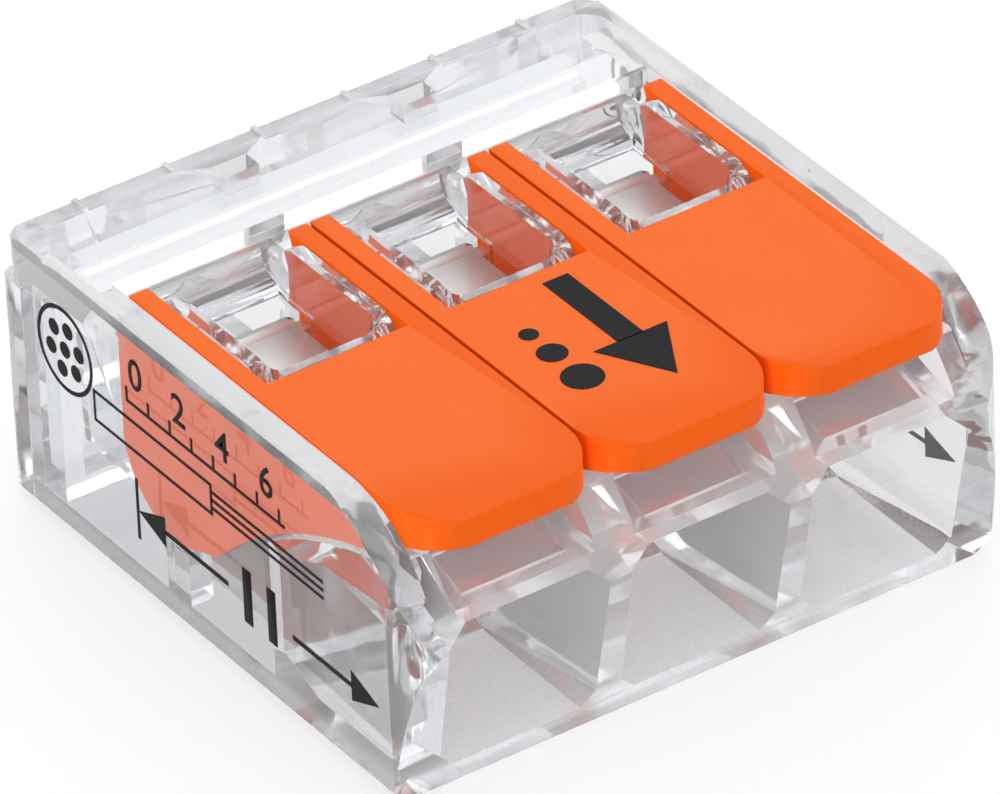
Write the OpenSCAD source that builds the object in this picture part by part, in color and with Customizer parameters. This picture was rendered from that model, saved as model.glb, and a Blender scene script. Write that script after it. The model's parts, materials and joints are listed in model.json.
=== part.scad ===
// Three-wire lever connector: a clear housing and rear cover around a busbar with
// one clamp spring per wire, each spring opened by its own hinged lever.
// Wire entries face -Y, the poles run along X, the underside lies on Z = 0.

/* [Housing] */
// Number of wires that the connector joins
pole_count = 3; // [2:1:5]
// Distance between neighbouring wire entries
pole_pitch = 5.6; // [4.7:0.1:7]
// Overall depth from the wire entries to the rear cover
body_depth = 18.6; // [15.5:0.1:22.5]
// Overall height
body_height = 8.3; // [6.9:0.1:10]
// Thickness of the two side walls
side_wall = 0.95; // [0.8:0.05:1.2]
// Thickness of the floor
floor_t = 0.65; // [0.5:0.05:0.8]
// Radius of the curve at the top front of the side walls
front_curve_r = 3.7; // [2.5:0.1:4.5]
// How far the foot of the front face lies behind its fullest point
front_lean = 0.95; // [0:0.05:1.5]
// Radius of the upright front corners
front_corner_r = 0.9; // [0.3:0.1:1.4]
// Radius of the upright rear corners of the roof
roof_corner_r = 1; // [0.5:0.1:1.4]
// Radius of the upright rear corners of the cover
rear_corner_r = 0.45; // [0.2:0.05:0.8]
// Chamfer along the lower side edges
foot_chamfer = 0.45; // [0.2:0.05:0.7]
// Chamfer along the upper side edges
edge_chamfer = 0.15; // [0.05:0.05:0.3]
// Thickness of the roof plate behind the levers
roof_t = 1.3; // [1:0.1:1.6]

/* [Wire entries] */
// Wall between two entries at the front face
web_t = 0.67; // [0.5:0.01:0.9]
// Distance from the top of the housing down to the upper edge of an entry
entry_drop = 2.8; // [2.5:0.1:3.1]
// Chamfer of the upper corners of an entry
entry_chamfer = 0.7; // [0.3:0.1:0.9]
// Chamfer where the walls of an entry meet its floor
entry_foot_chamfer = 0.5; // [0.2:0.1:0.6]
// How much each wall of the funnel closes in
funnel_taper = 0.5; // [0.3:0.05:0.6]
// Length of the tapered part of the funnel
funnel_len = 5.6; // [4.6:0.1:6]
// Height of the rim above an entry
rim_h = 0.25; // [0.15:0.05:0.4]
// How far the webs beside the lever tips slope back
apron_run = 1.1; // [0.8:0.1:1.4]
// Width of the finger shelf under each lever tip
shelf_w = 4.4; // [4:0.1:4.6]
// Width of the shallow recess in the shelf
recess_w = 3.15; // [2.6:0.05:3.4]

/* [Levers] */
// Side gap between neighbouring levers
lever_gap = 0.1; // [0.06:0.02:0.2]
// Thickness of the lever plate at the window
plate_t = 0.6; // [0.5:0.05:0.8]
// Thickness of the lever plate at its tip
tip_t = 0.75; // [0.6:0.05:1]
// How far a lever tip stays behind the front of the housing
tip_back = 0.05; // [0:0.05:0.4]
// Radius of the tip corners seen from above
tip_corner_r = 2; // [1:0.1:2.2]
// Thickness of the two arms of a lever
arm_t = 0.58; // [0.5:0.02:0.65]
// Distance from the rear of the connector to the lever axis
pivot_back = 7.4; // [7:0.1:8]
// Distance from the top of the connector down to the lever axis
pivot_drop = 3.6; // [3.5:0.05:3.8]
// Radius of the round foot of each arm
disc_r = 2.35; // [2.1:0.05:2.4]
// Distance from the lever axis back to the ends of the arms
arm_reach = 2.65; // [2.4:0.05:2.8]
// Distance from the lever axis forward to the edge of the window
window_reach = 2.85; // [2.7:0.05:3]
// Angle that a lever opens
open_angle = 85; // [70:1:85]
// Radius of the stub axle on the inside of each arm
stub_r = 0.55; // [0.4:0.05:0.6]

/* [Clamp springs] */
// Thickness of the spring strip
strip_t = 0.35; // [0.25:0.05:0.4]
// Radius of the bow, to the middle of the strip
bow_r = 0.9; // [0.8:0.05:1]
// Distance from the lever axis forward to the centre of the bow
bow_reach = 3.2; // [3.1:0.05:3.4]
// Angle that the clamping leg swings when its lever opens
leg_swing = 38; // [30:1:38]
// Radius of the side lug that the lever lifts
lug_r = 0.2; // [0.15:0.05:0.25]

/* [Busbar] */
// Thickness of the busbar
bar_t = 0.6; // [0.4:0.05:0.7]
// Width of the strip that joins the poles
bar_strip_w = 1.3; // [1:0.1:1.6]
// Thickness of the upright frames
upright_t = 0.45; // [0.35:0.05:0.6]

/* [Rear cover] */
// Thickness of the rear cover plate
cover_t = 1.1; // [0.9:0.05:1.3]
// Depth of the plug that enters the housing
plug_len = 1; // [0.6:0.1:1.3]
// Thickness of the plug wall
plug_t = 0.6; // [0.4:0.05:0.8]
// Width of a test slot
test_slot_w = 1.8; // [1.2:0.1:2.2]
// Height of a test slot
test_slot_h = 0.9; // [0.6:0.1:1.2]
// Width of the latches that lock the cover to the roof
latch_w = 1; // [0.8:0.1:1.4]

/* [Clearances] */
// Gap around pieces that are pushed together and stay put
fit_gap = 0.03; // [0.02:0.01:0.05]
// Gap between a moving piece and a fixed one
move_gap = 0.1; // [0.08:0.01:0.15]
// Radial running gap of the stub axles in their bores
axle_gap = 0.03; // [0.02:0.01:0.05]

/* [Hidden] */
eps = 0.01;
past = 2;
$fn = 72;

// Outer form
half_w = pole_count * pole_pitch / 2 + side_wall;
bay_half = half_w - side_wall;
front_y = -body_depth / 2;
rear_y = body_depth / 2;
curve_z = body_height - front_curve_r;
roof_z = body_height - roof_t;
seat_y = rear_y - cover_t;
lip_back = 0.1;
ledge_w = 0.65;
ledge_t = 0.1;
ledge_rib_w = 0.15;
ledge_rib_at = 1.4;

// Lever, with places as [y, z] in the plane across the axis
pivot = [rear_y - pivot_back, body_height - pivot_drop];
lever_half = (pole_pitch - lever_gap) / 2;
arm_in = lever_half - arm_t;
tip_y = front_y + tip_back;
window_y = pivot[0] - window_reach;
arm_back_y = pivot[0] + arm_reach;
heel_drop = 0.9;
heel_inset = 0.03;
heel_angle = 263;
nose_chamfer = 0.2;
lip_len = 0.8;
skirt_start = [tip_y + nose_chamfer, body_height - tip_t - nose_chamfer / 2];
toe_set = 1.85;
toe = pivot - [toe_set, toe_set];
skirt_bulge = 0.84;

// Everything that the opening lever sweeps stays inside or outside these circles
handle_in_r = norm([window_reach, pivot_drop - plate_t]) - move_gap;
arm_sweep_r = norm([arm_reach, pivot_drop]) + move_gap;
roof_front_y = pivot[0] + pivot_drop * sin(open_angle) - window_reach * cos(open_angle) + move_gap / 2;
window_rise = window_reach * sin(open_angle) + (pivot_drop - plate_t) * cos(open_angle);
bridge_rear_z = pivot[1] + window_rise - move_gap;
under_lever_z = body_height - max(plate_t, tip_t) - move_gap;

// Bridge between the arms, from the middle of the pole outwards
bridge_gap = 0.07;
bridge_half = arm_in - bridge_gap;
bridge_join = 1;
cheek_t = 0.38;
cheek_in = bridge_half - cheek_t;
cheek_r = 1.1;

// Pocket in the top of the bridge, with a scoop that rises to the roof behind it
bridge_rim = 0.42;
pocket_half = bridge_half - bridge_rim;
pocket_corner_r = 0.4;
pocket_set = 0.6;
pocket_front_y = window_y + pocket_set;
scoop_r = 0.75;
scoop_lip = 0.35;
scoop_y = roof_front_y - 1.5 * move_gap - scoop_r;

// Spring
strip_side_gap = 0.22;
strip_half = cheek_in - strip_side_gap;
bow_rise = 0.7;
bow = pivot + [-bow_reach, bow_rise];
bar_z = floor_t + fit_gap;
bar_top = bar_z + bar_t;
clamp_set = 0.15;
clamp_point = [pivot[0] - clamp_set, bar_top + strip_t / 2 + 2 * fit_gap];
to_clamp = clamp_point - bow;
leg_slope = atan2(-to_clamp[1], to_clamp[0]) - asin(bow_r / norm(to_clamp));
leg_len = sqrt(pow(norm(to_clamp), 2) - pow(bow_r, 2));
outward = [-sin(leg_slope), -cos(leg_slope)];
hinge = bow + (bow_r - strip_t / 2) * outward;
lug_orbit = 2.13;
lug_angle = 210.6;
lug_start = pivot + lug_orbit * [cos(lug_angle), sin(lug_angle)];
lug_out = bridge_half - move_gap / 2;
ear_t = 0.35;
ear_half = 0.4;
ear_taper = 0.7;
hook_len = 3 * strip_t;
leg_z = bow[1] + bow_r;
strip_top = leg_z + strip_t / 2;
spine_gap = 0.08;
spine_z = strip_top + spine_gap;

// Cam on the inside of each arm, whose flank carries the lug from rest to open
cam_inset = 0.02;
cam_r = disc_r - cam_inset;
cam_overlap = 0.35;
cam_in = bridge_half - cam_overlap;
cam_steps = 10;
cam_front = 0.6;
// Share of the opening after which the lug rides on the end of the flank
cam_share = 0.68;

// The clamping leg clears the upright frame over its whole swing
leg_end = clamp_point - hinge;
leg_end_rise = max(0, atan2(-leg_end[1], leg_end[0]) - leg_swing);
leg_sweep_y = hinge[0] + norm(leg_end) * cos(leg_end_rise);
upright_y = max(pivot[0] + cheek_r + 1.5 * move_gap, leg_sweep_y + 2 * move_gap);
upright_top = leg_z - strip_t / 2 - fit_gap / 2;
upright_half = bridge_half - move_gap;
tongue_half = cam_in - move_gap;
hook_y = upright_y + upright_t + fit_gap;
hook_back_y = hook_y + strip_t;
window_frame = 0.25;
window_sill = 2.4;
window_head = 0.6;

// Wire entry
entry_half = (pole_pitch - web_t) / 2;
entry_top = body_height - entry_drop;
funnel_half = entry_half - funnel_taper;
web_back_y = bow[0] - bow_r - strip_t / 2 - 2 * move_gap;
throat_drop = 0.5;
throat_z = hinge[1] - throat_drop;
ramp_run = 1.6;
ceiling_run = 4.4;
ceiling_drop = 0.3;

// Shelf under the lever tip, as [distance behind the front, height above the rim]
shelf_edge = [0.65, 0.1];
shelf_end = [2.1, 0.55];
shelf_rise = 0.6;
recess_depth = 0.2;

// Cradle ribs under the feet of the levers
cradle_set = 0.6;
cradle_run = 1.05;
cradle_rise = 0.2;

// Rear cover
rib_t = 0.5;
rib_clear = 0.3;
slot_rise = 1.6;
latch_len = 0.5;
latch_h = 0.65 * roof_t;

function pole_x(i) = (i - (pole_count + 1) / 2) * pole_pitch;
function turned(v, a) = [v[0] * cos(a) - v[1] * sin(a), v[0] * sin(a) + v[1] * cos(a)];
function skirt_at(t) =
  let (run = toe - skirt_start, side = [-run[1], run[0]] / norm(run))
  skirt_start + run * t + side * 4 * skirt_bulge * t * (1 - t);
// Where the lug is, seen from the lever, after the given share of the opening
function lug_seen(s) =
  turned(hinge - pivot + turned(lug_start - hinge, s * leg_swing), s * open_angle);
function flank_at(s) =
  let (way = lug_seen(s + eps) - lug_seen(s - eps), down = [way[1], -way[0]] / norm(way))
  lug_seen(s) + down * (lug_r + move_gap / 2);

module along_x(x0, x1) {
  translate([x0, 0, 0])
    rotate([90, 0, 90])
      linear_extrude(x1 - x0) children();
}

module along_y(y0, y1) {
  translate([0, y1, 0])
    rotate([90, 0, 0])
      linear_extrude(y1 - y0) children();
}

// Both sides of a pole, from x0 to x1 away from its middle
module both_sides(x0, x1) {
  along_x(x0, x1) children();
  along_x(-x1, -x0) children();
}

// What rounding takes off a square corner that points along the signs in dir
module corner_off(at, dir, r) {
  translate(at)
    scale(dir)
      difference() {
        translate([-r, -r]) square(r + eps);
        translate([-r, -r]) circle(r);
      }
}

module side_outline() {
  difference() {
    polygon([
      [rear_y, 0],
      [rear_y, body_height],
      [front_y, body_height],
      [front_y, curve_z],
      [front_y + front_lean, 0]
    ]);
    corner_off([front_y, body_height], [-1, 1], front_curve_r);
  }
}

module front_outline() {
  polygon([
    [-half_w + foot_chamfer, 0],
    [half_w - foot_chamfer, 0],
    [half_w, foot_chamfer],
    [half_w, body_height - edge_chamfer],
    [half_w - edge_chamfer, body_height],
    [-half_w + edge_chamfer, body_height],
    [-half_w, body_height - edge_chamfer],
    [-half_w, foot_chamfer]
  ]);
}

module top_outline(rear_r) {
  difference() {
    translate([-half_w, front_y]) square([2 * half_w, body_depth]);
    for (side = [-1, 1]) {
      corner_off([side * half_w, front_y], [side, -1], front_corner_r);
      corner_off([side * half_w, rear_y], [side, 1], rear_r);
    }
  }
}

module outer_form(rear_r) {
  intersection() {
    along_x(-half_w, half_w) side_outline();
    along_y(front_y, rear_y) front_outline();
    linear_extrude(body_height) top_outline(rear_r);
  }
}

// Space between the side walls that the levers, springs and busbar take up
module inner_room() {
  apron_y = front_y + apron_run;
  polygon(concat(
    [
      [front_y - past, body_height + past],
      [front_y - past, entry_top + rim_h],
      [front_y + eps, entry_top + rim_h],
      [apron_y, skirt_at(0.1)[1] - 1.5 * move_gap]
    ],
    [for (t = [0.2:0.1:1]) skirt_at(t) - [0, 1.5 * move_gap]],
    [[toe[0], body_height + past]]
  ));
  translate([web_back_y, floor_t]) square([seat_y + past - web_back_y, roof_z - floor_t]);
  translate([web_back_y, roof_z - eps]) square([roof_front_y - web_back_y, roof_t + past]);
  intersection() {
    translate(pivot) circle(arm_sweep_r);
    translate([pivot[0], pivot[1]]) square([arm_sweep_r, pivot_drop]);
  }
}

// Clear bridge between the two arms of a lever, seen from the side
module bridge_side() {
  polygon([
    [front_y + apron_run, entry_top + rim_h],
    [web_back_y, throat_z],
    [web_back_y, spine_z],
    [window_y + bridge_join, spine_z],
    [window_y + bridge_join, under_lever_z],
    [front_y + apron_run, under_lever_z]
  ]);
  intersection() {
    translate(pivot) circle(handle_in_r);
    translate([window_y - bridge_join, spine_z]) square([rear_y, body_height - spine_z]);
  }
  translate([pivot[0], spine_z]) square([roof_front_y - pivot[0] + eps, bridge_rear_z - spine_z]);
}

// Cheek that hangs from the bridge and carries the stub axle
module cheek_side() {
  translate(pivot) circle(cheek_r);
  translate([pivot[0] - cheek_r, pivot[1]]) square([2 * cheek_r, spine_z - pivot[1] + eps]);
}

module pocket() {
  intersection() {
    along_x(-pocket_half, pocket_half)
      polygon(concat(
        [
          [pocket_front_y, body_height + past],
          [pocket_front_y, spine_z - eps],
          [scoop_y, spine_z - eps]
        ],
        [for (a = [0:10:90]) [scoop_y + scoop_r * sin(a), spine_z + scoop_lip + scoop_r * (1 - cos(a))]],
        [[scoop_y + scoop_r, body_height + past]]
      ));
    linear_extrude(2 * body_height)
      difference() {
        translate([-pocket_half, pocket_front_y]) square([2 * pocket_half, rear_y]);
        for (side = [-1, 1]) corner_off([side * pocket_half, pocket_front_y], [side, -1], pocket_corner_r);
      }
  }
}

module bridge() {
  difference() {
    union() {
      along_x(-bridge_half, bridge_half) bridge_side();
      both_sides(cheek_in, bridge_half) cheek_side();
    }
    pocket();
    along_x(-past - bridge_half, past + bridge_half)
      translate(pivot) circle(stub_r + axle_gap);
    both_sides(cheek_in - move_gap, bridge_half + eps)
      intersection() {
        translate(pivot) circle(cam_r + 1.5 * move_gap);
        translate([web_back_y, 0]) square([pivot[0] - cheek_r - web_back_y, body_height]);
      }
  }
}

// Rib under the round feet of two neighbouring levers
module cradle(x0, x1) {
  along_x(x0, x1)
    difference() {
      translate([pivot[0] - cradle_set, floor_t - eps])
        square([cradle_run, pivot[1] - disc_r - floor_t + cradle_rise]);
      translate(pivot) circle(disc_r + move_gap);
    }
}

module funnel() {
  intersection() {
    linear_extrude(body_height)
      polygon([
        [-entry_half, front_y - past],
        [entry_half, front_y - past],
        [entry_half, front_y],
        [funnel_half, front_y + funnel_len],
        [funnel_half, web_back_y + eps],
        [-funnel_half, web_back_y + eps],
        [-funnel_half, front_y + funnel_len],
        [-entry_half, front_y]
      ]);
    along_x(-entry_half, entry_half)
      polygon([
        [front_y - past, floor_t],
        [web_back_y - ramp_run, floor_t],
        [web_back_y + eps, bar_top],
        [web_back_y + eps, throat_z],
        [front_y + ceiling_run, entry_top - ceiling_drop],
        [front_y - past, entry_top]
      ]);
    along_y(front_y - past, web_back_y + eps)
      polygon([
        [-entry_half + entry_foot_chamfer, floor_t],
        [entry_half - entry_foot_chamfer, floor_t],
        [entry_half, floor_t + entry_foot_chamfer],
        [entry_half, entry_top - entry_chamfer],
        [entry_half - entry_chamfer, entry_top],
        [-entry_half + entry_chamfer, entry_top],
        [-entry_half, entry_top - entry_chamfer],
        [-entry_half, floor_t + entry_foot_chamfer]
      ]);
  }
}

// Room for a fingertip under the lever tip, with a shallow recess in its floor
module shelf() {
  rim = [front_y, entry_top + rim_h];
  along_x(-shelf_w / 2, shelf_w / 2)
    polygon([
      rim - [past, 0],
      rim,
      rim + shelf_edge,
      rim + shelf_end,
      [rim[0] + shelf_end[0] + shelf_rise, under_lever_z],
      [rim[0] + shelf_end[0] + shelf_rise, body_height + past],
      [rim[0] - past, body_height + past]
    ]);
  along_x(-recess_w / 2, recess_w / 2)
    polygon([
      rim + shelf_edge + [0, 2 * recess_depth],
      rim + shelf_edge - [0, recess_depth],
      rim + shelf_end - [0, recess_depth],
      rim + shelf_end + [0, 2 * recess_depth]
    ]);
}

// Low step along the rear edge of the roof, left standing in narrow ribs
module ledge() {
  difference() {
    translate([-half_w - past, rear_y - ledge_w, body_height - ledge_t])
      cube([2 * (half_w + past), ledge_w + past, past]);
    for (i = [1:pole_count])
      for (side = [-1, 1])
        translate([pole_x(i) + side * ledge_rib_at - ledge_rib_w / 2, rear_y - ledge_w - eps, 0])
          cube([ledge_rib_w, ledge_w + past, 2 * body_height]);
  }
}

module housing() {
  color([0.86, 0.89, 0.91, 0.45])
    difference() {
      union() {
        difference() {
          outer_form(roof_corner_r);
          along_x(-bay_half, bay_half) inner_room();
          translate([-half_w - past, seat_y, -past]) cube([2 * (half_w + past), body_depth, roof_z + past]);
          translate([-half_w - past, rear_y - lip_back, 0])
            cube([2 * (half_w + past), past, 2 * body_height]);
        }
        for (i = [1:pole_count]) translate([pole_x(i), 0, 0]) bridge();
        for (i = [1:pole_count - 1])
          let (x = pole_x(i) + pole_pitch / 2, rib = pole_pitch / 2 - bridge_half)
            cradle(x - rib, x + rib);
        cradle(-bay_half - eps, -bay_half + pole_pitch / 2 - bridge_half);
        cradle(bay_half - pole_pitch / 2 + bridge_half, bay_half + eps);
      }
      for (i = [1:pole_count])
        translate([pole_x(i), 0, 0]) {
          funnel();
          shelf();
        }
      for (i = [1:pole_count - 1])
        translate([pole_x(i) + pole_pitch / 2 - latch_w / 2 - fit_gap, 0, 0])
          translate([0, seat_y - latch_len - move_gap, roof_z - eps])
            cube([latch_w + 2 * fit_gap, latch_len + move_gap + fit_gap, roof_t + past]);
      ledge();
    }
}

// Frame that enters the back of the housing, and two ribs that hold each busbar frame
module rear_cover() {
  plug_half = bay_half - fit_gap;
  plug_low = floor_t + fit_gap;
  plug_top = roof_z - fit_gap;
  rib_y = hook_back_y + move_gap + fit_gap;
  rib_low = bar_top + rib_clear;
  rib_top = pivot[1] + rib_clear;
  slot_z = floor_t + slot_rise;
  color([0.84, 0.88, 0.9, 0.45])
    difference() {
      union() {
        intersection() {
          outer_form(rear_corner_r);
          translate([-half_w, seat_y + fit_gap, 0]) cube([2 * half_w, cover_t, roof_z - fit_gap]);
        }
        difference() {
          along_y(seat_y - plug_len, seat_y + 2 * fit_gap)
            translate([-plug_half, plug_low]) square([2 * plug_half, plug_top - plug_low]);
          along_y(seat_y - plug_len - eps, seat_y + fit_gap)
            translate([-plug_half + plug_t, plug_low + plug_t])
              square([2 * (plug_half - plug_t), plug_top - plug_low - 2 * plug_t]);
        }
        for (i = [1:pole_count])
          translate([pole_x(i), 0, 0])
            both_sides(strip_half - rib_t, strip_half)
              translate([rib_y, rib_low]) square([seat_y + 2 * fit_gap - rib_y, rib_top - rib_low]);
        for (i = [1:pole_count - 1])
          translate([pole_x(i) + pole_pitch / 2, 0, 0])
            along_x(-latch_w / 2, latch_w / 2)
              polygon([
                [seat_y - latch_len, plug_top - eps],
                [seat_y, plug_top - eps],
                [seat_y, plug_top + latch_h]
              ]);
      }
      for (i = [1:pole_count])
        translate([pole_x(i) - test_slot_w / 2, seat_y - past, slot_z])
          cube([test_slot_w, 2 * past + cover_t, test_slot_h]);
    }
}

module busbar() {
  window_low = bar_top + window_sill;
  window_half = strip_half - window_frame;
  color([0.72, 0.72, 0.71])
    union() {
      translate([pole_x(1) - tongue_half, web_back_y + move_gap, bar_z])
        cube([pole_x(pole_count) - pole_x(1) + 2 * tongue_half, bar_strip_w, bar_t]);
      for (i = [1:pole_count])
        translate([pole_x(i), 0, 0]) {
          translate([-tongue_half, web_back_y + move_gap, bar_z])
            cube([2 * tongue_half, upright_y - web_back_y, bar_t]);
          along_y(upright_y, upright_y + upright_t)
            difference() {
              translate([-upright_half, bar_z]) square([2 * upright_half, upright_top - bar_z]);
              translate([-window_half, window_low])
                square([2 * window_half, upright_top - window_low - window_head]);
            }
        }
    }
}

module lever_side() {
  translate(pivot) circle(disc_r);
  polygon(concat(
    [
      [tip_y + nose_chamfer, body_height],
      [tip_y, body_height - nose_chamfer],
      [tip_y, body_height - tip_t + nose_chamfer / 2]
    ],
    [for (t = [0:0.1:1]) skirt_at(t)],
    [
      pivot + (disc_r - heel_inset) * [cos(heel_angle), sin(heel_angle)],
      pivot,
      pivot + [disc_r - heel_inset, 0],
      [pivot[0] + disc_r - heel_inset, body_height - heel_drop],
      [arm_back_y, body_height]
    ]
  ));
}

module lever_top() {
  difference() {
    translate([-lever_half, tip_y]) square([2 * lever_half, arm_back_y - tip_y]);
    for (side = [-1, 1]) corner_off([side * lever_half, tip_y], [side, -1], tip_corner_r);
  }
}

// Ledge that lifts the lug of the clamping leg, seen from the side
module cam_side() {
  translate(pivot)
    intersection() {
      circle(cam_r);
      polygon(concat(
        [flank_at(0) - [cam_front, move_gap]],
        [for (j = [0:cam_steps]) flank_at(cam_share * j / cam_steps)],
        [[flank_at(cam_share)[0], -disc_r], [flank_at(0)[0] - cam_front, -disc_r]]
      ));
    }
}

module lever(i) {
  translate([pole_x(i), 0, 0])
    color("darkorange") {
      difference() {
        intersection() {
          along_x(-lever_half, lever_half) lever_side();
          linear_extrude(2 * body_height) lever_top();
        }
        along_x(-arm_in, arm_in)
          polygon([
            [tip_y + lip_len, body_height - tip_t],
            [window_y, body_height - plate_t],
            [window_y, body_height + past],
            [arm_back_y + past, body_height + past],
            [arm_back_y + past, -past],
            [tip_y + lip_len, -past]
          ]);
      }
      both_sides(cheek_in + move_gap / 2, arm_in + eps) translate(pivot) circle(stub_r);
      both_sides(cam_in, arm_in + eps) cam_side();
    }
}

// Fixed part of a clamp spring: the leg on the upright frame, its hook and the bow
module spring_bow(i) {
  bow_turn = 180 - leg_slope;
  sector_steps = 8;
  translate([pole_x(i), 0, 0])
    color([0.62, 0.62, 0.62])
      along_x(-strip_half, strip_half) {
        translate([bow[0], leg_z - strip_t / 2]) square([hook_y + strip_t - bow[0], strip_t]);
        translate([hook_y, leg_z - hook_len]) square([strip_t, hook_len]);
        translate(bow)
          intersection() {
            difference() {
              circle(bow_r + strip_t / 2);
              circle(bow_r - strip_t / 2);
            }
            polygon(concat(
              [[0, 0]],
              [for (j = [0:sector_steps])
                let (a = j * bow_turn / sector_steps) 3 * bow_r * [-sin(a), cos(a)]]
            ));
          }
      }
}

// Moving part of a clamp spring: the clamping leg with its two side lugs
module spring_leg(i) {
  lug = turned(lug_start - bow, leg_slope);
  translate([pole_x(i), 0, 0])
    color([0.66, 0.66, 0.65]) {
      along_x(-strip_half, strip_half)
        translate(bow)
          rotate(-leg_slope)
            translate([0, -bow_r - strip_t / 2]) square([leg_len, strip_t]);
      both_sides(strip_half - ear_t, strip_half)
        translate(bow)
          rotate(-leg_slope)
            polygon([
              [lug[0] - ear_half, -bow_r],
              [lug[0] + ear_half, -bow_r],
              lug + [ear_taper * lug_r, 0],
              lug - [ear_taper * lug_r, 0]
            ]);
      both_sides(strip_half - ear_t, lug_out)
        translate(lug_start) circle(lug_r);
    }
}

housing();
rear_cover();
busbar();
for (i = [1:pole_count]) {
  lever(i);
  spring_bow(i);
  spring_leg(i);
}
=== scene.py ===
# Three-wire lever connector: clear housing, orange levers, spring clamps and a tinned busbar.
# Metres, but millimetres where marks are drawn or a finish is masked. The wire entries face -Y, the
# poles run along X, and the underside lies on Z = 0.
import bmesh
import bpy
import json
import math
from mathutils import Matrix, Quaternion, Vector


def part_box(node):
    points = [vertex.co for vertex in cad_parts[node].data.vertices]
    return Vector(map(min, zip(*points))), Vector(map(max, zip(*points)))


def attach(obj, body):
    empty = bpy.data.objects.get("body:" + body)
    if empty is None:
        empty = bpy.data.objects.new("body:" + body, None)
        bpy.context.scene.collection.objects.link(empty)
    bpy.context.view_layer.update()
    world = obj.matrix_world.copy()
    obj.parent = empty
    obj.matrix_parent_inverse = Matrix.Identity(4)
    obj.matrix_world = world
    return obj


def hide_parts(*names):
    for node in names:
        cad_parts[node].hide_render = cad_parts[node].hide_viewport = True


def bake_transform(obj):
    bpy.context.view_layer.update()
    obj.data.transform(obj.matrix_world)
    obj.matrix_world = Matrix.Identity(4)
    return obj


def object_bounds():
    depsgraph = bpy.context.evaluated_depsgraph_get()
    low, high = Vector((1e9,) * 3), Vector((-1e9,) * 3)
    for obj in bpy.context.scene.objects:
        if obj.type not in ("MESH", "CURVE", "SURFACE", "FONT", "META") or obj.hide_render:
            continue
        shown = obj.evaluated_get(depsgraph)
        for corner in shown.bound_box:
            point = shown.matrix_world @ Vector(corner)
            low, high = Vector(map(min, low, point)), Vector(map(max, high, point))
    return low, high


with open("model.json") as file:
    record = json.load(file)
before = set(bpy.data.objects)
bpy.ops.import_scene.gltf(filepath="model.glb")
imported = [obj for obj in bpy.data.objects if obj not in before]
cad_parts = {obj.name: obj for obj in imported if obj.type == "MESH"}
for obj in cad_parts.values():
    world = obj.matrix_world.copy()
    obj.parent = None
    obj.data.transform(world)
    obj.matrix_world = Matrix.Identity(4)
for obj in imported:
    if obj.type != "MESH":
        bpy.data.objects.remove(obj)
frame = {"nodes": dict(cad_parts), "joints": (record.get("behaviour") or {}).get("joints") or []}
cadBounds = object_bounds()
mm = 0.001
mergeGap = 0.0005 * mm
wallX = cadBounds[1].x
leverHinges = [joint for joint in frame["joints"] if joint["child"].startswith("lever_")]
clampHinges = [joint for joint in frame["joints"] if joint["child"].startswith("clamp_leg_")]
print("frame loaded:", len(frame["nodes"]), "nodes,", len(leverHinges), "poles")


# camera

cameraLook = {
    "azimuth": -33.286,  # degrees, 0 looks along +Y
    "elevation": 34.22,
    "roll": -2.485,
    "distance": 357.4 * mm,
    "lens": 498,
    "aim": (-0.0365 * mm, 0.0993 * mm, 4.0926 * mm),
}


def addCamera(look):
    turn, tilt = math.radians(look["azimuth"]), math.radians(look["elevation"])
    back = Vector((math.sin(turn) * math.cos(tilt), -math.cos(turn) * math.cos(tilt), math.sin(tilt)))
    bpy.ops.object.camera_add(location=Vector(look["aim"]) + back * look["distance"])
    camera = bpy.context.object
    camera.rotation_mode = "QUATERNION"
    roll = Quaternion((0, 0, 1), math.radians(look["roll"]))
    camera.rotation_quaternion = back.to_track_quat("Z", "Y") @ roll
    camera.data.lens = look["lens"]
    camera.data.clip_start = 0.01
    camera.data.clip_end = 10
    bpy.context.scene.camera = camera


addCamera(cameraLook)
print("camera placed")


# modelling helpers

def deselectAll():
    if bpy.context.mode != "OBJECT":
        bpy.ops.object.mode_set(mode="OBJECT")
    bpy.ops.object.select_all(action="DESELECT")


def workOn(piece):
    deselectAll()
    piece.select_set(True)
    bpy.context.view_layer.objects.active = piece


def startEdit(piece, mode="FACE"):
    workOn(piece)
    bpy.ops.object.mode_set(mode="EDIT")
    bpy.ops.mesh.select_mode(type=mode)
    bpy.ops.mesh.select_all(action="DESELECT")


def choose(piece, kind, test):
    # in edit mode, selects the verts, edges or faces for which test says yes
    mesh = bmesh.from_edit_mesh(piece.data)
    for part in getattr(mesh, kind):
        part.select_set(test(part))
    mesh.select_flush_mode()
    bmesh.update_edit_mesh(piece.data)


def middle(part):
    return sum((corner.co for corner in part.verts), Vector()) / len(part.verts)


def addModifier(piece, kind, settings):
    workOn(piece)
    bpy.ops.object.modifier_add(type=kind)
    modifier = piece.modifiers[-1]
    for key, value in settings.items():
        setattr(modifier, key, value)
    bpy.ops.object.modifier_apply(modifier=modifier.name)


def smooth(piece, angle=32):
    workOn(piece)
    bpy.ops.object.shade_smooth_by_angle(angle=math.radians(angle))


def joinPieces(parts, name):
    workOn(parts[0])
    for part in parts:
        part.select_set(True)
    if len(parts) > 1:
        bpy.ops.object.join()
    parts[0].name = name
    parts[0].data.name = name
    return parts[0]


def outward(piece):
    startEdit(piece)
    bpy.ops.mesh.select_all(action="SELECT")
    bpy.ops.mesh.remove_doubles(threshold=mergeGap)
    bpy.ops.mesh.normals_make_consistent(inside=False)
    bpy.ops.object.mode_set(mode="OBJECT")


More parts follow.
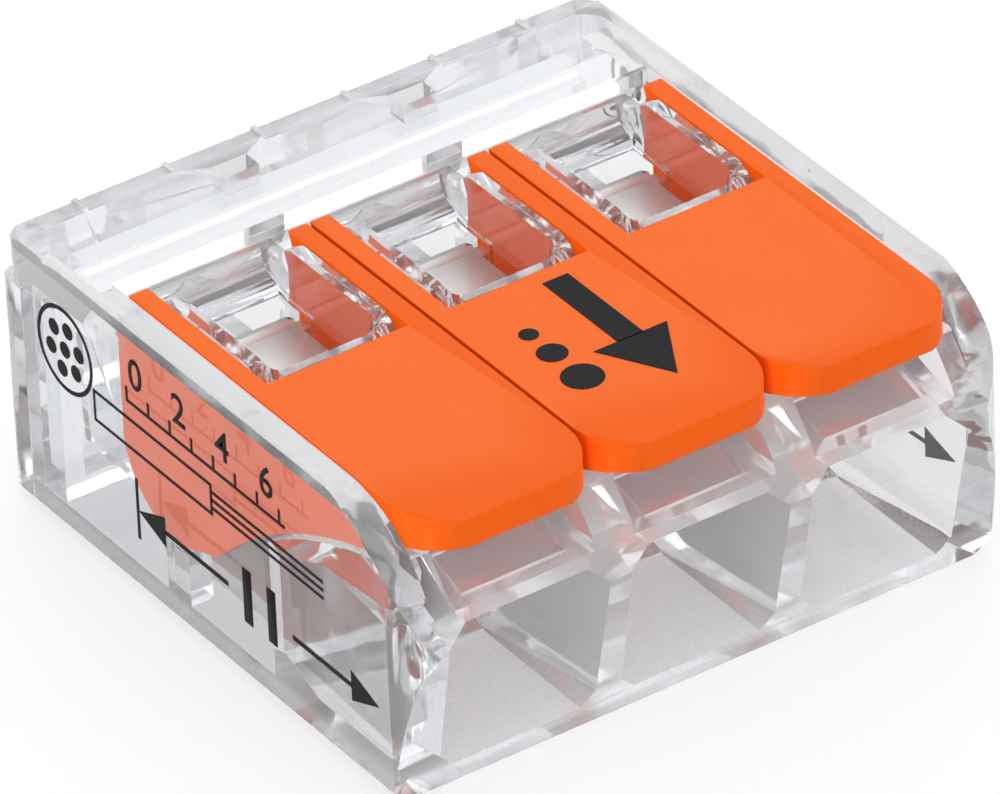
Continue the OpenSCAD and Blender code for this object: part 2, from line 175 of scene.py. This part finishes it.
def copyNode(node, name):
    # the node's loose triangles, merged and with flat faces made whole
    piece = bpy.data.objects.new(name, frame["nodes"][node].data.copy())
    bpy.context.scene.collection.objects.link(piece)
    startEdit(piece)
    bpy.ops.mesh.select_all(action="SELECT")
    bpy.ops.mesh.remove_doubles(threshold=mergeGap)
    bpy.ops.mesh.dissolve_limited(angle_limit=math.radians(0.4))
    bpy.ops.mesh.vert_connect_concave()
    bpy.ops.object.mode_set(mode="OBJECT")
    return piece


def softenEdges(piece, width, angle, segments=2):
    addModifier(piece, "BEVEL", {
        "width": width,
        "segments": segments,
        "limit_method": "ANGLE",
        "angle_limit": math.radians(angle),
        "use_clamp_overlap": True,
        "miter_outer": "MITER_ARC",
    })


# shader helpers

class Value:
    # an output of a node, or an expression on such outputs
    def __init__(self, finish, socket):
        self.finish = finish
        self.socket = socket

    def maths(self, operation, first, second):
        return self.finish.add("ShaderNodeMath", {"operation": operation}, {0: first, 1: second})

    def __add__(self, other):
        return self.maths("ADD", self, other)

    def __radd__(self, other):
        return self.maths("ADD", other, self)

    def __sub__(self, other):
        return self.maths("SUBTRACT", self, other)

    def __rsub__(self, other):
        return self.maths("SUBTRACT", other, self)

    def __mul__(self, other):
        return self.maths("MULTIPLY", self, other)

    def __rmul__(self, other):
        return self.maths("MULTIPLY", other, self)

    def __abs__(self):
        return self.maths("ABSOLUTE", self, 0)


class Finish:
    # one material and its nodes
    def __init__(self, name, fixed):
        self.material = bpy.data.materials.new(name)
        self.material.use_nodes = True
        self.tree = self.material.node_tree
        self.shader = self.tree.nodes["Principled BSDF"]
        self.fill(self.shader, fixed)

    def fill(self, node, inputs):
        for key, value in inputs.items():
            if isinstance(value, Value):
                self.tree.links.new(value.socket, node.inputs[key])
            else:
                node.inputs[key].default_value = value

    def add(self, kind, settings, inputs, output=0):
        node = self.tree.nodes.new(kind)
        for key, value in settings.items():
            if key == "stops":
                self.setStops(node.color_ramp.elements, value)
            else:
                setattr(node, key, value)
        self.fill(node, inputs)
        return Value(self, node.outputs[output])

    def setStops(self, elements, stops):
        while len(elements) < len(stops):
            elements.new(0.5)
        for element, (place, level) in zip(elements, stops):
            element.position = place
            element.color = (level, level, level, 1)

    def place(self, stretch=(1, 1, 1)):
        spot = self.add("ShaderNodeTexCoord", {}, {}, "Object")
        return self.add("ShaderNodeMapping", {}, {"Vector": spot, "Scale": stretch})

    def noise(self, perMm, detail=3, rough=0.5, stretch=(1, 1, 1)):
        # blotches, perMm of them to a millimetre
        return self.add("ShaderNodeTexNoise", {}, {
            "Vector": self.place(stretch),
            "Scale": perMm / mm,
            "Detail": detail,
            "Roughness": rough,
        })

    def ramp(self, value, *stops):
        return self.add("ShaderNodeValToRGB", {"stops": stops}, {"Fac": value})

    def mixColours(self, share, first, second):
        return self.add("ShaderNodeMix", {"data_type": "RGBA"}, {"Factor": share, 6: first, 7: second}, 2)

    def bump(self, height, depth):
        return self.add("ShaderNodeBump", {}, {"Strength": 1.0, "Distance": depth, "Height": height})

    def spot(self, axis):
        # place along one axis in millimetres
        spot = self.add("ShaderNodeTexCoord", {}, {}, "Object")
        return self.add("ShaderNodeSeparateXYZ", {}, {"Vector": spot}, axis) * (1 / mm)

    def rise(self, value, low, high):
        # 0 below low, 1 above high
        return self.add("ShaderNodeMapRange", {}, {"Value": value, "From Min": low, "From Max": high})

    def cloudy(self, share, fixed):
        # a second shader laid over part of the surface
        second = self.add("ShaderNodeBsdfPrincipled", {}, fixed)
        both = self.add("ShaderNodeMixShader", {}, {0: share, 2: second})
        self.tree.links.new(self.shader.outputs[0], both.socket.node.inputs[1])
        self.tree.links.new(both.socket, self.tree.nodes["Material Output"].inputs["Surface"])

    def vary(self, **inputs):
        self.fill(self.shader, {key.replace("_", " "): value for key, value in inputs.items()})


# materials

clearLook = {
    "ior": 1.5,
    "tint": (0.92, 0.928, 0.938, 1),
    "smoke": (0.86, 0.872, 0.89, 1),
    "sheen": (0.2, 0.2, 0.2, 1),
    "roughness": 0.02,
    "waveDepth": 0.02 * mm,
    "fogAndGlowColour": (0.84, 0.845, 0.86, 1),
    # the fog shares set where the plastic is hazy and also where it shows a painted glow
    "fogAndGlowEverywhere": 0.02,
    "fogPaintedGlow": 0.14,  # painted glow: the fog emits light of its own, standing in for light scattered inside the plastic
    "fogAndGlowInFront": 0.28,
    "fogAndGlowOnRoof": 0.2,
    "fogAndGlowOnFloor": 0.2,
}


def clearPlastic(look):
    finish = Finish("clear_plastic", {
        "Transmission Weight": 1.0,
        "IOR": look["ior"],
        "Specular Tint": look["sheen"],
    })
    cloud = finish.noise(0.35, detail=2)
    scuff = finish.ramp(finish.noise(2.5, detail=4, rough=0.65, stretch=(1, 6, 1)), (0.6, 0), (0.78, 1))
    wave = finish.noise(0.5, detail=1)
    finish.vary(
        Base_Color=finish.mixColours(cloud, look["tint"], look["smoke"]),
        Roughness=look["roughness"] + 0.04 * cloud + 0.07 * scuff,
        Normal=finish.bump(wave, look["waveDepth"]),
    )
    height, across, along = finish.spot("Z"), finish.spot("X"), finish.spot("Y")
    inside = 1 - finish.rise(abs(across), 7.2, 8.2)
    front = inside * (1 - finish.rise(along, -4.5, -3.5))
    behind = finish.rise(along, 3.6, 4.2)
    roof = finish.rise(height, 6.9, 7.2) * behind
    base = finish.rise(height, 0.3, 0.5) - finish.rise(height, 0.9, 1.2)
    speckle = finish.ramp(finish.noise(9, detail=4, rough=0.7), (0.4, 0.6), (0.65, 1))
    share = (
        look["fogAndGlowEverywhere"] + look["fogAndGlowInFront"] * front
        + look["fogAndGlowOnRoof"] * roof + look["fogAndGlowOnFloor"] * base * speckle
    )
    # the fog layer is a diffuse haze that also emits a painted glow, strongest in front, on the roof and
    # on the channel floors
    finish.cloudy(share, {
        "Base Color": look["fogAndGlowColour"],
        "Roughness": 0.5,
        "Emission Color": look["fogAndGlowColour"],
        "Emission Strength": look["fogPaintedGlow"],
    })
    return finish.material


orangeLook = {
    "colour": (0.86, 0.118, 0.004, 1),
    "shade": (0.8, 0.104, 0.003, 1),
    "rubbed": (0.92, 0.2, 0.04, 1),
    # glow is the colour of the painted light on the lever side faces
    "glow": (0.86, 0.09, 0.0, 1),
    "leverGap": 2.8,  # from the middle, where the painted side glow is left out
    "sideGlow": 0.4,  # painted light: the side faces glow, standing in for light that the clear walls bring to them
    "roughness": 0.48,
    "grainDepth": 0.006 * mm,
}


def orangePlastic(look):
    finish = Finish("orange_plastic", {
        "IOR": 1.5,
        "Specular IOR Level": 0.08,
        "Emission Strength": look["sideGlow"],
    })
    facing = finish.add("ShaderNodeTexCoord", {}, {}, "Normal")
    sideways = finish.add("ShaderNodeSeparateXYZ", {}, {"Vector": facing}, "X")
    across = finish.spot("X")
    # painted light: side faces glow orange, except at the gaps between levers
    fromGap = abs(across) - look["leverGap"]
    side = (
        finish.rise(abs(sideways), 0.5, 0.95)
        * finish.rise(abs(fromGap), 0.1, 0.2)
    )
    cloud = finish.noise(0.25, detail=3)
    grain = finish.noise(14, detail=3, rough=0.6)
    dust = finish.ramp(finish.noise(1.3, detail=5, rough=0.7), (0.62, 0), (0.8, 1))
    edge = finish.ramp(finish.add("ShaderNodeNewGeometry", {}, {}, "Pointiness"), (0.52, 0), (0.6, 1))
    plain = finish.mixColours(cloud, look["colour"], look["shade"])
    finish.vary(
        Base_Color=finish.mixColours(0.35 * edge + 0.12 * dust, plain, look["rubbed"]),
        Roughness=look["roughness"] + 0.1 * grain + 0.1 * dust - 0.08 * edge,
        Normal=finish.bump(grain + 0.5 * dust, look["grainDepth"]),
        Emission_Color=finish.mixColours(side, (0, 0, 0, 1), look["glow"]),
    )
    return finish.material


steelLook = {
    "bright": (0.86, 0.855, 0.85, 1),
    "dull": (0.7, 0.695, 0.69, 1),
    "roughness": 0.42,
    "brushDepth": 0.004 * mm,
}


def springSteel(look):
    finish = Finish("spring_steel", {"Metallic": 1.0})
    brush = finish.noise(6, detail=4, rough=0.6, stretch=(3, 0.25, 0.25))
    stain = finish.noise(0.8, detail=4)
    finish.vary(
        Base_Color=finish.mixColours(0.6 * brush + 0.4 * stain, look["bright"], look["dull"]),
        Roughness=look["roughness"] + 0.12 * brush + 0.1 * stain,
        Normal=finish.bump(brush, look["brushDepth"]),
    )
    return finish.material


tinLook = {
    "bright": (0.86, 0.85, 0.83, 1),
    "dull": (0.72, 0.71, 0.69, 1),
    "roughness": 0.38,
    "grainDepth": 0.004 * mm,
}


def tinPlate(look):
    finish = Finish("tinned_copper", {"Metallic": 1.0})
    cloud = finish.noise(1.2, detail=5, rough=0.6)
    grain = finish.noise(12, detail=2)
    finish.vary(
        Base_Color=finish.mixColours(cloud, look["bright"], look["dull"]),
        Roughness=look["roughness"] + 0.2 * cloud,
        Normal=finish.bump(grain + cloud, look["grainDepth"]),
    )
    return finish.material


inkLook = {
    "black": (0.006, 0.006, 0.007, 1),
    "thin": (0.02, 0.02, 0.022, 1),
    "roughness": 0.6,
}


def printInk(look):
    finish = Finish("print_ink", {"Specular IOR Level": 0.15})
    speckle = finish.noise(7, detail=3, rough=0.6)
    worn = finish.ramp(speckle, (0.66, 0), (0.72, 1))
    finish.vary(
        Base_Color=finish.mixColours(speckle, look["black"], look["thin"]),
        Roughness=look["roughness"] + 0.2 * speckle + 0.1 * worn,
    )
    return finish.material


clearMaterial = clearPlastic(clearLook)
orangeMaterial = orangePlastic(orangeLook)
steelMaterial = springSteel(steelLook)
tinMaterial = tinPlate(tinLook)
inkMaterial = printInk(inkLook)
print("materials made")


def finishPiece(piece, material):
    piece.data.materials.clear()
    piece.data.materials.append(material)
    return piece


# clear housing and rear cover

housingShape = {
    "edge": 0.07 * mm,
    "sharp": 30,  # degrees, corners above this are rounded
    "flatWeight": 80,
}


def makeHousing(shape):
    for node, name in (("housing", "clear_housing"), ("rear_cover", "clear_rear_cover")):
        piece = copyNode(node, name)
        softenEdges(piece, shape["edge"], shape["sharp"])
        smooth(piece)
        addModifier(piece, "WEIGHTED_NORMAL", {"keep_sharp": True, "weight": shape["flatWeight"]})
        finishPiece(piece, clearMaterial)
        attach(piece, "connector_body")
        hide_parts(node)


makeHousing(housingShape)
print("housing and rear cover made")


# levers

leverShape = {
    "edge": 0.2 * mm,
    "sharp": 35,
    "flatWeight": 60,
}


def makeLever(number, shape):
    node = f"lever_{number}"
    piece = copyNode(node, f"orange_{node}")
    softenEdges(piece, shape["edge"], shape["sharp"], segments=3)
    smooth(piece)
    addModifier(piece, "WEIGHTED_NORMAL", {"keep_sharp": True, "weight": shape["flatWeight"]})
    finishPiece(piece, orangeMaterial)
    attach(piece, node)
    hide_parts(node)


for number in range(1, len(leverHinges) + 1):
    makeLever(number, leverShape)
print("levers made")


# busbar

busbarShape = {
    "edge": 0.04 * mm,
    "sharp": 30,
}


def makeBusbar(shape):
    piece = copyNode("busbar", "tinned_busbar")
    softenEdges(piece, shape["edge"], shape["sharp"])
    smooth(piece)
    finishPiece(piece, tinMaterial)
    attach(piece, "connector_body")
    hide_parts("busbar")


makeBusbar(busbarShape)
print("busbar made")


# clamp springs, one bent strip each

springShape = {
    "thickness": 0.35 * mm,
    "bowRadius": 0.9 * mm,  # to the middle of the strip
    "edge": 0.05 * mm,
    "sharp": 50,
    "bendRadius": 0.3 * mm,  # at the hook
    "bowSteps": 16,
    "hookSteps": 5,
    "legSteps": 6,
    "lugRadius": 0.2 * mm,
    "lugOrbit": 2.13 * mm,  # from the lever axis
    "lugAngle": 210.6,
    "earThickness": 0.35 * mm,
    "earWidth": 0.48 * mm,
}


def spinEdge(angle, centre, steps):
    bpy.ops.mesh.spin(steps=steps, angle=math.radians(angle), center=centre, axis=(1, 0, 0))


def pushEdge(move, steps=1):
    for step in range(steps):
        bpy.ops.mesh.extrude_region_move(TRANSFORM_OT_translate={"value": Vector(move) / steps})


def makeSpring(number, shape):
    bowLow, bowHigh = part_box(f"spring_bow_{number}")
    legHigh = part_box(f"spring_leg_{number}")[1]
    flex = Vector(clampHinges[number - 1]["pos_m"])
    axle = Vector(leverHinges[number - 1]["pos_m"])
    half = shape["thickness"] / 2
    radius = shape["bowRadius"]
    width = bowHigh.x - bowLow.x
    top = bowHigh.z - half
    bow = Vector((flex.x, bowLow.y + radius + half, top - radius))
    slope = math.atan2(bow.y - flex.y, bow.z - flex.z)
    legStart = bow + radius * Vector((0, -math.sin(slope), -math.cos(slope)))
    legRun = (legHigh.y - half * math.sin(slope) - legStart.y) / math.cos(slope)
    along = Vector((0, math.cos(slope), -math.sin(slope)))
    bend = shape["bendRadius"]
    hookY = bowHigh.y - half

    # contact leg, on top of the upright frame
    bpy.ops.mesh.primitive_plane_add(size=1, location=(flex.x, (bow.y + hookY - bend) / 2, top))
    strip = bpy.context.object
    strip.scale = (width, hookY - bend - bow.y, 1)
    bpy.ops.object.transform_apply(location=True, rotation=True, scale=True)
    startEdit(strip, "EDGE")

    # hook behind the frame
    choose(strip, "edges", lambda edge: middle(edge).y > hookY - bend - 0.01 * mm)
    spinEdge(-90, (flex.x, hookY - bend, top - bend), shape["hookSteps"])
    pushEdge((0, 0, bowLow.z - (top - bend)))

    # bow and clamping leg
    bpy.ops.mesh.select_all(action="DESELECT")
    choose(strip, "edges", lambda edge: abs(middle(edge).y - bow.y) < 0.01 * mm)
    spinEdge(180 - math.degrees(slope), bow, shape["bowSteps"])
    pushEdge(along * legRun, shape["legSteps"])
    bpy.ops.object.mode_set(mode="OBJECT")
    outward(strip)
    addModifier(strip, "SOLIDIFY", {"thickness": shape["thickness"], "offset": 0})
    softenEdges(strip, shape["edge"], shape["sharp"])

    # side ears and the lugs that ride on the levers
    angle = math.radians(shape["lugAngle"])
    lug = axle + shape["lugOrbit"] * Vector((0, math.cos(angle), math.sin(angle)))
    foot = legStart + along * (lug - legStart).dot(along)
    parts = [strip]
    inner, outer = bowHigh.x - flex.x - shape["earThickness"], legHigh.x - flex.x
    for side in (-1, 1):
        bpy.ops.mesh.primitive_cylinder_add(
            vertices=24,
            radius=shape["lugRadius"],
            depth=outer - inner,
            location=lug + Vector((side * (inner + outer) / 2, 0, 0)),
            rotation=(0, math.radians(90), 0),
        )
        pin = bpy.context.object
        softenEdges(pin, shape["edge"], shape["sharp"])
        parts.append(pin)
        aside = Vector((side * (width / 2 - shape["earThickness"] / 2), 0, 0))
        bpy.ops.mesh.primitive_cube_add(size=1, location=(lug + foot) / 2 + aside)
        ear = bpy.context.object
        ear.scale = (shape["earThickness"], shape["earWidth"], (lug - foot).length)
        ear.rotation_euler = (-slope, 0, 0)
        bpy.ops.object.transform_apply(location=True, rotation=True, scale=True)
        softenEdges(ear, shape["edge"], shape["sharp"])
        parts.append(ear)
    for part in parts:
        workOn(part)
        bpy.ops.object.transform_apply(location=True, rotation=True, scale=True)
    spring = joinPieces(parts, f"clamp_spring_{number}")
    smooth(spring)
    finishPiece(spring, steelMaterial)
    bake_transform(spring)
    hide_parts(f"spring_bow_{number}", f"spring_leg_{number}")


for number in range(1, len(clampHinges) + 1):
    makeSpring(number, springShape)
print("springs made")


# printed marks: a strip gauge with a scale, and plain signs

printLook = {
    "thickness": 0.01,  # all in millimetres
    "gap": 0.003,
    "line": 0.1,
    "arrowLine": 0.15,
    "arrowHead": (1.25, 0.95),
    "scaleDigit": 0.95,
    "boldDigit": 1.6,
    "strand": 0.24,
}


def flatPiece():
    piece = bpy.context.object
    bpy.ops.object.transform_apply(location=True, rotation=True, scale=True)
    return piece


def drawBar(start, end, width):
    start, end = Vector((*start, 0)), Vector((*end, 0))
    run = end - start
    bpy.ops.mesh.primitive_plane_add(
        size=1, location=(start + end) / 2 * mm, rotation=(0, 0, math.atan2(run.y, run.x)),
    )
    bpy.context.object.scale = (run.length * mm, width * mm, 1)
    return flatPiece()


def drawHead(tip, angle, length, width):
    forward = Vector((math.cos(angle), math.sin(angle), 0))
    bpy.ops.mesh.primitive_circle_add(
        vertices=3, radius=1, fill_type="NGON",
        location=(Vector((*tip, 0)) - forward * length * 2 / 3) * mm, rotation=(0, 0, angle - math.pi / 2),
    )
    bpy.context.object.scale = (width * mm / math.sqrt(3), length * mm / 1.5, 1)
    return flatPiece()


def drawArrow(tail, tip, width, head):
    angle = math.atan2(tip[1] - tail[1], tip[0] - tail[0])
    neck = (tip[0] - math.cos(angle) * head[0] * 0.98, tip[1] - math.sin(angle) * head[0] * 0.98)
    return [drawBar(tail, neck, width), drawHead(tip, angle, *head)]


def drawDot(centre, radius):
    bpy.ops.mesh.primitive_circle_add(
        vertices=32, radius=radius * mm, fill_type="NGON", location=Vector((*centre, 0)) * mm,
    )
    return flatPiece()


def drawRing(centre, radius, width):
    ring = drawDot(centre, radius)
    startEdit(ring)
    bpy.ops.mesh.select_all(action="SELECT")
    bpy.ops.mesh.inset(thickness=width * mm)
    bpy.ops.mesh.delete(type="FACE")
    bpy.ops.object.mode_set(mode="OBJECT")
    return ring


def drawDigits(digits, centre, height, bold=0):
    bpy.ops.object.text_add(location=Vector((*centre, 0)) * mm)
    text = bpy.context.object
    text.data.body = digits
    text.data.size = height / 0.72 * mm
    text.data.offset = bold * mm
    text.data.align_x = "CENTER"
    text.data.align_y = "CENTER"
    bpy.ops.object.convert(target="MESH")
    return flatPiece()


def drawStrands(centre, look):
    # cut end of a stranded wire
    parts = [drawRing(centre, 1.3, look["line"] * 1.3), drawDot(centre, look["strand"])]
    for step in range(6):
        turn = math.radians(60 * step + 15)
        spot = (centre[0] + 0.68 * math.cos(turn), centre[1] + 0.68 * math.sin(turn))
        parts.append(drawDot(spot, look["strand"]))
    return parts


def drawWallMarks(along, look):
    # along is 1 where the wire entries are on the reader's right
    line = look["line"]
    parts = [drawBar((-3.35 * along, 6.16), (3.95 * along, 6.16), line)]
    for step in range(8):
        parts.append(drawBar(((step - 3.3) * along, 6.2), ((step - 3.3) * along, 6.6), line))
    for step in range(4):
        spot = (2 * step - 3.0 + 0.15 * along) * along
        parts.append(drawDigits(str(2 * step), (spot, 7.1), look["scaleDigit"], 0.012))
    # stripped wire: cover, then bare strands
    for level in (4.7, 5.6):
        parts.append(drawBar((-4.9 * along, level), (0.5 * along, level), line))
    for spot in (-4.9, 0.5):
        parts.append(drawBar((spot * along, 4.65), (spot * along, 5.65), line))
    for level in (4.9, 5.15, 5.4):
        parts.append(drawBar((0.5 * along, level), (5.6 * along, level), line))
    # strip length
    parts.append(drawBar((-3.08 * along, 1.95), (-3.08 * along, 3.85), look["line"] * 1.3))
    parts += drawArrow((1.1 * along, 2.85), (-3.05 * along, 2.85), look["arrowLine"], look["arrowHead"])
    parts += drawArrow((4.05 * along, 2.85), (7.95 * along, 2.85), look["arrowLine"], look["arrowHead"])
    parts.append(drawDigits("11", (2.55 * along, 2.85), look["boldDigit"], 0.09))
    return parts + drawStrands((-6.2 * along, 6.15), look)


def drawLeverMarks():
    # bold arrow to the wire entry, and dots for rising wire size
    parts = drawArrow((1.5, 0.75), (6.95, 0.75), 0.8, (2.1, 2.3))
    for spot, radius in ((3.2, 0.27), (4.25, 0.42), (5.6, 0.58)):
        parts.append(drawDot((spot, -1.25), radius))
    return parts


def printOn(parts, name, place, turn, body, look):
    mark = joinPieces(parts, name)
    addModifier(mark, "SOLIDIFY", {"thickness": look["thickness"] * mm, "offset": 1})
    mark.location = Vector(place)
    mark.rotation_euler = [math.radians(angle) for angle in turn]
    bpy.ops.object.transform_apply(location=True, rotation=True, scale=True)
    finishPiece(mark, inkMaterial)
    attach(mark, body)


def makePrints(look):
    wall = wallX + look["gap"] * mm
    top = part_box("lever_2")[1].z + look["gap"] * mm
    printOn(drawWallMarks(1, look), "left_wall_print", (-wall, 0, 0), (90, 0, -90), "connector_body", look)
    printOn(drawWallMarks(-1, look), "right_wall_print", (wall, 0, 0), (90, 0, 90), "connector_body", look)
    printOn(drawLeverMarks(), "lever_print", (0, 0, top), (0, 0, -90), "lever_2", look)


makePrints(printLook)
print("prints made")


# floor, lights and sky

roomLook = {
    "floorSize": 4.0,
    "glow": 0.66,  # the table is lit from below
    "paper": (0.36, 0.36, 0.36, 1),
    "paperShade": (0.34, 0.34, 0.34, 1),
    "horizon": (1.15, 1.16, 1.18, 1),
    "zenith": (0.72, 0.72, 0.72, 1),
}


def makeRoom(look):
    bpy.ops.mesh.primitive_plane_add(size=look["floorSize"], location=(0, 0, -0.01 * mm))
    floor = bpy.context.object
    floor.name = "pale_floor"
    paper = Finish("pale_floor", {
        "Roughness": 0.9,
        "Specular IOR Level": 0.1,
        "Emission Color": (1, 1, 1, 1),
        "Emission Strength": look["glow"],
    })
    paper.vary(Base_Color=paper.mixColours(paper.noise(0.02), look["paper"], look["paperShade"]))
    floor.data.materials.append(paper.material)
    world = bpy.data.worlds.new("soft_sky")
    world.use_nodes = True
    nodes, links = world.node_tree.nodes, world.node_tree.links
    spot = nodes.new("ShaderNodeTexCoord")
    split = nodes.new("ShaderNodeSeparateXYZ")
    mix = nodes.new("ShaderNodeMix")
    mix.data_type = "RGBA"
    mix.inputs[6].default_value = look["horizon"]
    mix.inputs[7].default_value = look["zenith"]
    links.new(spot.outputs["Generated"], split.inputs["Vector"])
    links.new(split.outputs["Z"], mix.inputs["Factor"])
    links.new(mix.outputs[2], nodes["Background"].inputs["Color"])
    bpy.context.scene.world = world


keyLamp = {"place": (0.0, -0.05, 0.35), "size": 0.16, "power": 0.22}
backLamp = {"place": (0.16, 0.24, 0.2), "size": 0.2, "power": 0.15}


def addLamp(name, look):
    # a square soft light that faces the connector
    bpy.ops.object.light_add(type="AREA", location=look["place"])
    lamp = bpy.context.object
    lamp.name = name
    lamp.data.shape = "SQUARE"
    lamp.data.size = look["size"]
    lamp.data.energy = look["power"]
    lamp.rotation_euler = Vector(look["place"]).to_track_quat("Z", "Y").to_euler()


makeRoom(roomLook)
addLamp("key_light", keyLamp)
addLamp("back_light", backLamp)

scene = bpy.context.scene
scene.view_settings.view_transform = "Standard"
scene.cycles.max_bounces = 32
scene.cycles.glossy_bounces = 32
scene.cycles.transmission_bounces = 32
scene.cycles.transparent_max_bounces = 16
print("room and lights made")
